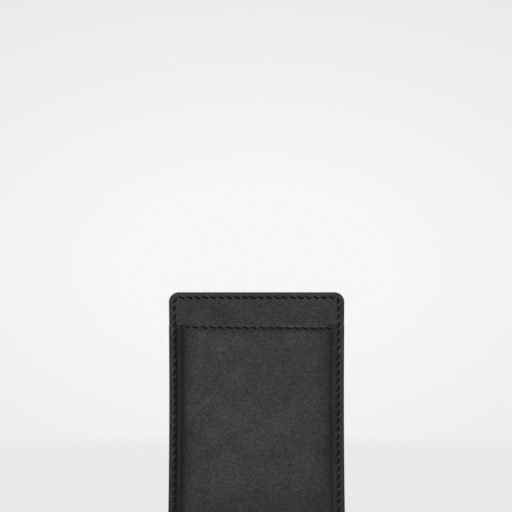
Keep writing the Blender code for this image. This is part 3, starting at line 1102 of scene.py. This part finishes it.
def edge_paint(base):
    """Satin edge paint, slightly uneven and rubbed at its corners."""
    if "satin_paint" in bpy.data.materials:
        return bpy.data.materials["satin_paint"]
    material, tree, shader = new_material("satin_paint")
    wear = placed(tree, wear_and_painted_light())
    uneven = noise(tree, millimetres(tree), 0.9, 4.0)
    shade = blend(tree, ranged(tree, uneven, 0.3, 0.7), rgba(base, 0.8), rgba(base, 1.25))
    # Rubbed places are lighter: worn paint, and on the mouth's bead a painted highlight as well.
    scuffs = maths(tree, "MULTIPLY", wear.outputs["Rubbed"], 0.25)
    tree.links.new(blend(tree, scuffs, shade, rgba(base, 2.6)), shader.inputs["Base Color"])
    tree.links.new(ranged(tree, uneven, 0.25, 0.75, 0.62, 0.74), shader.inputs["Roughness"])
    shader.inputs["Specular IOR Level"].default_value = 0.2
    bumped(tree, shader, uneven, 0.3, 0.06 * MM)
    return material


def waxed_thread(base):
    """Waxed thread: dark, with fine fibres and a dull wax bloom."""
    material, tree, shader = new_material("fibrous_thread")
    fibres = noise(tree, millimetres(tree), 9.0, 3.0)
    shade = blend(tree, ranged(tree, fibres, 0.3, 0.7), rgba(base, 0.7), rgba(base, 1.6))
    tree.links.new(shade, shader.inputs["Base Color"])
    tree.links.new(ranged(tree, fibres, 0.3, 0.7, 0.6, 0.75), shader.inputs["Roughness"])
    bumped(tree, shader, fibres, 0.5, 0.04 * MM)
    shader.inputs["Specular IOR Level"].default_value = 0.05
    return material


def lining_cloth(base):
    """Plain-woven lining cloth."""
    material, tree, shader = new_material("woven_lining")
    place = millimetres(tree)
    bands = {"Vector": place, "Scale": 0.75, "Distortion": 0.6, "Detail": 1.0}
    threads = []
    for direction in ("X", "Z"):
        wave = add(tree, "ShaderNodeTexWave", bands, bands_direction=direction)
        threads.append(wave.outputs["Fac"])
    weave = maths(tree, "MAXIMUM", *threads)
    shade = blend(tree, weave, rgba(base, 0.5), rgba(base, 1.3))
    tree.links.new(shade, shader.inputs["Base Color"])
    tree.links.new(ranged(tree, weave, 0.0, 1.0, 0.95, 0.8), shader.inputs["Roughness"])
    bumped(tree, shader, weave, 0.6, 0.1 * MM)
    return material


def stiffening_board(base):
    """Bonded fibre board."""
    material, tree, shader = new_material("fibre_board")
    fibres = noise(tree, millimetres(tree), 2.2, 5.0, 0.7)
    shade = blend(tree, fibres, rgba(base, 0.6), rgba(base, 1.3))
    tree.links.new(shade, shader.inputs["Base Color"])
    tree.links.new(ranged(tree, fibres, 0.2, 0.8, 0.85, 0.98), shader.inputs["Roughness"])
    bumped(tree, shader, fibres, 0.4, 0.1 * MM)
    return material


# Stage


def seen_rays(tree):
    """One for rays that show the background: from the camera, off gloss or through glass."""
    path = tree.nodes.new("ShaderNodeLightPath").outputs
    gloss = maths(tree, "MAXIMUM", path["Is Glossy Ray"], path["Is Transmission Ray"])
    return maths(tree, "MAXIMUM", path["Is Camera Ray"], gloss)


def floor(holder):
    """Pale floor that takes the object's shadow and fades into the background behind it."""
    stage = holder.stage
    reach = 2 * stage.floor_end
    mesh = bpy.data.meshes.new("floor")
    corners = [(-reach, -reach, 0), (reach, -reach, 0), (reach, reach, 0), (-reach, reach, 0)]
    mesh.from_pydata(corners, [], [(0, 1, 2, 3)])
    ground = bpy.data.objects.new("floor", mesh)
    bpy.context.scene.collection.objects.link(ground)
    material, tree, shader = new_material("pale_floor")
    lit_share = 0.68
    dull_share = 0.25
    shade = rgba(holder.finish.floor)
    shader.inputs["Base Color"].default_value = rgba(holder.finish.floor, lit_share)
    shader.inputs["Roughness"].default_value = 0.9
    shader.inputs["Specular IOR Level"].default_value = 0.1
    glow = add(tree, "ShaderNodeEmission", {"Color": shade, "Strength": 1.0})
    place = tree.nodes.new("ShaderNodeTexCoord").outputs["Object"]
    away = length_of(tree, place)
    plain = ranged(tree, away, 0.1, 0.3, 0.86, 1.0)
    shown = add(tree, "ShaderNodeMixShader", {0: plain, 1: shader.outputs[0], 2: glow.outputs[0]})
    dull = add(tree, "ShaderNodeBsdfDiffuse", {"Color": rgba(holder.finish.floor, dull_share)})
    lit = add(
        tree, "ShaderNodeMixShader", {0: seen_rays(tree), 1: dull.outputs[0], 2: shown.outputs[0]}
    )
    clear = add(tree, "ShaderNodeBsdfTransparent")
    fade = ranged(tree, away, stage.floor_start, stage.floor_end)
    faded = add(tree, "ShaderNodeMixShader", {0: fade, 1: lit.outputs[0], 2: clear.outputs[0]})
    tree.links.new(faded.outputs[0], tree.nodes["Material Output"].inputs["Surface"])
    mesh.materials.append(material)


def backdrop(holder):
    """Pale room: brightest behind the object, and dimmer as light than as background."""
    finish = holder.finish
    world = bpy.data.worlds.new("pale_room")
    bpy.context.scene.world = world
    world.use_nodes = True
    tree = world.node_tree
    tree.nodes.clear()
    way = tree.nodes.new("ShaderNodeTexCoord").outputs["Generated"]
    off = vectors(tree, "SUBTRACT", {0: way, 1: (0.0, 0.0, GLOW_RISE)})
    away = length_of(tree, vectors(tree, "MULTIPLY", {0: off, 1: GLOW_STRETCH}))
    fall = {"Value": away, "From Min": GLOW_START, "From Max": GLOW_END}
    share = add(tree, "ShaderNodeMapRange", fall).outputs["Result"]
    shown = blend(tree, share, rgba(finish.backdrop), rgba(finish.backdrop_far))
    seen = add(tree, "ShaderNodeBackground", {"Color": shown, "Strength": 1.0})
    ambient = holder.stage.ambient
    light = add(tree, "ShaderNodeBackground", {"Color": WHITE, "Strength": ambient})
    both = add(
        tree, "ShaderNodeMixShader", {0: seen_rays(tree), 1: light.outputs[0], 2: seen.outputs[0]}
    )
    out = tree.nodes.new("ShaderNodeOutputWorld")
    tree.links.new(both.outputs[0], out.inputs["Surface"])


def softbox(name, power, side):
    """Soft rectangular light, above and in front for a side of -1 or behind for 1."""
    lamp = bpy.data.lights.new(name, "AREA")
    lamp.shape = "RECTANGLE"
    lamp.energy = power
    lamp.size = SOFTBOX_WIDE
    lamp.size_y = SOFTBOX_TALL
    thing = bpy.data.objects.new(name, lamp)
    thing.location = (0.0, side * SOFTBOX_AWAY, SOFTBOX_RISE)
    thing.rotation_euler = Euler((-side * SOFTBOX_TILT, 0.0, 0.0))
    bpy.context.scene.collection.objects.link(thing)


def camera(holder):
    """Camera at the photograph's height and angle."""
    stage = holder.stage
    data = bpy.data.cameras.new("view")
    data.sensor_width = 36.0
    data.lens = data.sensor_width * stage.distance / stage.view
    thing = bpy.data.objects.new("view", data)
    height = stage.aim - stage.distance * math.tan(stage.pitch)
    thing.location = (-stage.aside, BORDER_Y - stage.distance, height)
    thing.rotation_euler = Euler((math.pi / 2 + stage.pitch, 0.0, 0.0))
    bpy.context.scene.collection.objects.link(thing)
    bpy.context.scene.camera = thing


# Operators


class HOLDER_OT_pocket(bpy.types.Operator):
    """Build the formed pocket leather"""

    bl_idname = "card_holder.pocket"
    bl_label = "Pocket leather"

    def execute(self, context):
        holder = context.scene.card_holder
        piece = pocket_front(holder)
        return {"FINISHED"}


class HOLDER_OT_lining(bpy.types.Operator):
    """Build the woven lining of the pocket"""

    bl_idname = "card_holder.lining"
    bl_label = "Pocket lining"

    def execute(self, context):
        holder = context.scene.card_holder
        piece = pocket_lining(holder)
        return {"FINISHED"}


class HOLDER_OT_panels(bpy.types.Operator):
    """Build the flat leathers: the inner facing and the back"""

    bl_idname = "card_holder.panels"
    bl_label = "Flat leathers"

    def execute(self, context):
        holder = context.scene.card_holder
        for build in (inner_facing, back_panel):
            build(holder)
        return {"FINISHED"}


class HOLDER_OT_board(bpy.types.Operator):
    """Give the stiffening board its finish"""

    bl_idname = "card_holder.board"
    bl_label = "Stiffening board"

    def execute(self, context):
        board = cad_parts["back_board"]
        board.data.materials.clear()
        board.data.materials.append(stiffening_board(context.scene.card_holder.finish.board))
        return {"FINISHED"}


class HOLDER_OT_edges(bpy.types.Operator):
    """Paint the cut edges"""

    bl_idname = "card_holder.edges"
    bl_label = "Painted edges"

    def execute(self, context):
        edge_coat(context.scene.card_holder)
        mouth_edge_coat(context.scene.card_holder)
        return {"FINISHED"}


class HOLDER_OT_stitches(bpy.types.Operator):
    """Sew the four runs of stitches"""

    bl_idname = "card_holder.stitches"
    bl_label = "Stitches"

    def execute(self, context):
        holder = context.scene.card_holder
        shape = holder.shape
        stitching = holder.stitching
        material = waxed_thread(holder.finish.thread)
        thread("edge_seam_front", edge_seam(shape, stitching, True), material)
        thread("edge_seam_back", edge_seam(shape, stitching, False), material)
        thread("mouth_seam_front", mouth_seam(shape, stitching), material)
        thread("mouth_seam_reverse", mouth_seam_reverse(shape, stitching), material)
        return {"FINISHED"}


class HOLDER_OT_stage(bpy.types.Operator):
    """Set the floor, background, light and camera"""

    bl_idname = "card_holder.stage"
    bl_label = "Stage"

    def execute(self, context):
        holder = context.scene.card_holder
        context.scene.view_settings.view_transform = "Standard"
        floor(holder)
        backdrop(holder)
        softbox("key", holder.stage.key, -1)
        softbox("back", holder.stage.back, 1)
        camera(holder)
        return {"FINISHED"}


OPERATORS = (
    HOLDER_OT_pocket,
    HOLDER_OT_lining,
    HOLDER_OT_panels,
    HOLDER_OT_board,
    HOLDER_OT_edges,
    HOLDER_OT_stitches,
    HOLDER_OT_stage,
)


class HOLDER_PT_looks(bpy.types.Panel):
    """Card holder looks"""

    bl_idname = "HOLDER_PT_looks"
    bl_label = "Card holder"
    bl_space_type = "VIEW_3D"
    bl_region_type = "UI"
    bl_category = "Card holder"

    def draw(self, context):
        holder = context.scene.card_holder
        for part in (holder.shape, holder.stitching, holder.finish, holder.stage):
            box = self.layout.box()
            for label in part.bl_rna.properties.keys():
                if label not in ("rna_type", "name"):
                    box.prop(part, label)
        for operator in OPERATORS:
            self.layout.operator(operator.bl_idname)


GROUPS = (HolderShape, HolderStitching, HolderFinish, HolderStage, CardHolder)
CLASSES = (*GROUPS, *OPERATORS, HOLDER_PT_looks)


def register():
    """Add the classes, and the settings of a scene."""
    for kind in CLASSES:
        bpy.utils.register_class(kind)
    bpy.types.Scene.card_holder = PointerProperty(type=CardHolder)


def unregister():
    """Take the settings and the classes away."""
    del bpy.types.Scene.card_holder
    for kind in reversed(CLASSES):
        bpy.utils.unregister_class(kind)


def main():
    """Build all pieces and the stage."""
    register()
    bpy.ops.card_holder.pocket()
    bpy.ops.card_holder.lining()
    bpy.ops.card_holder.panels()
    bpy.ops.card_holder.board()
    bpy.ops.card_holder.edges()
    bpy.ops.card_holder.stitches()
    bpy.ops.card_holder.stage()


if __name__ == "__main__":
    main()
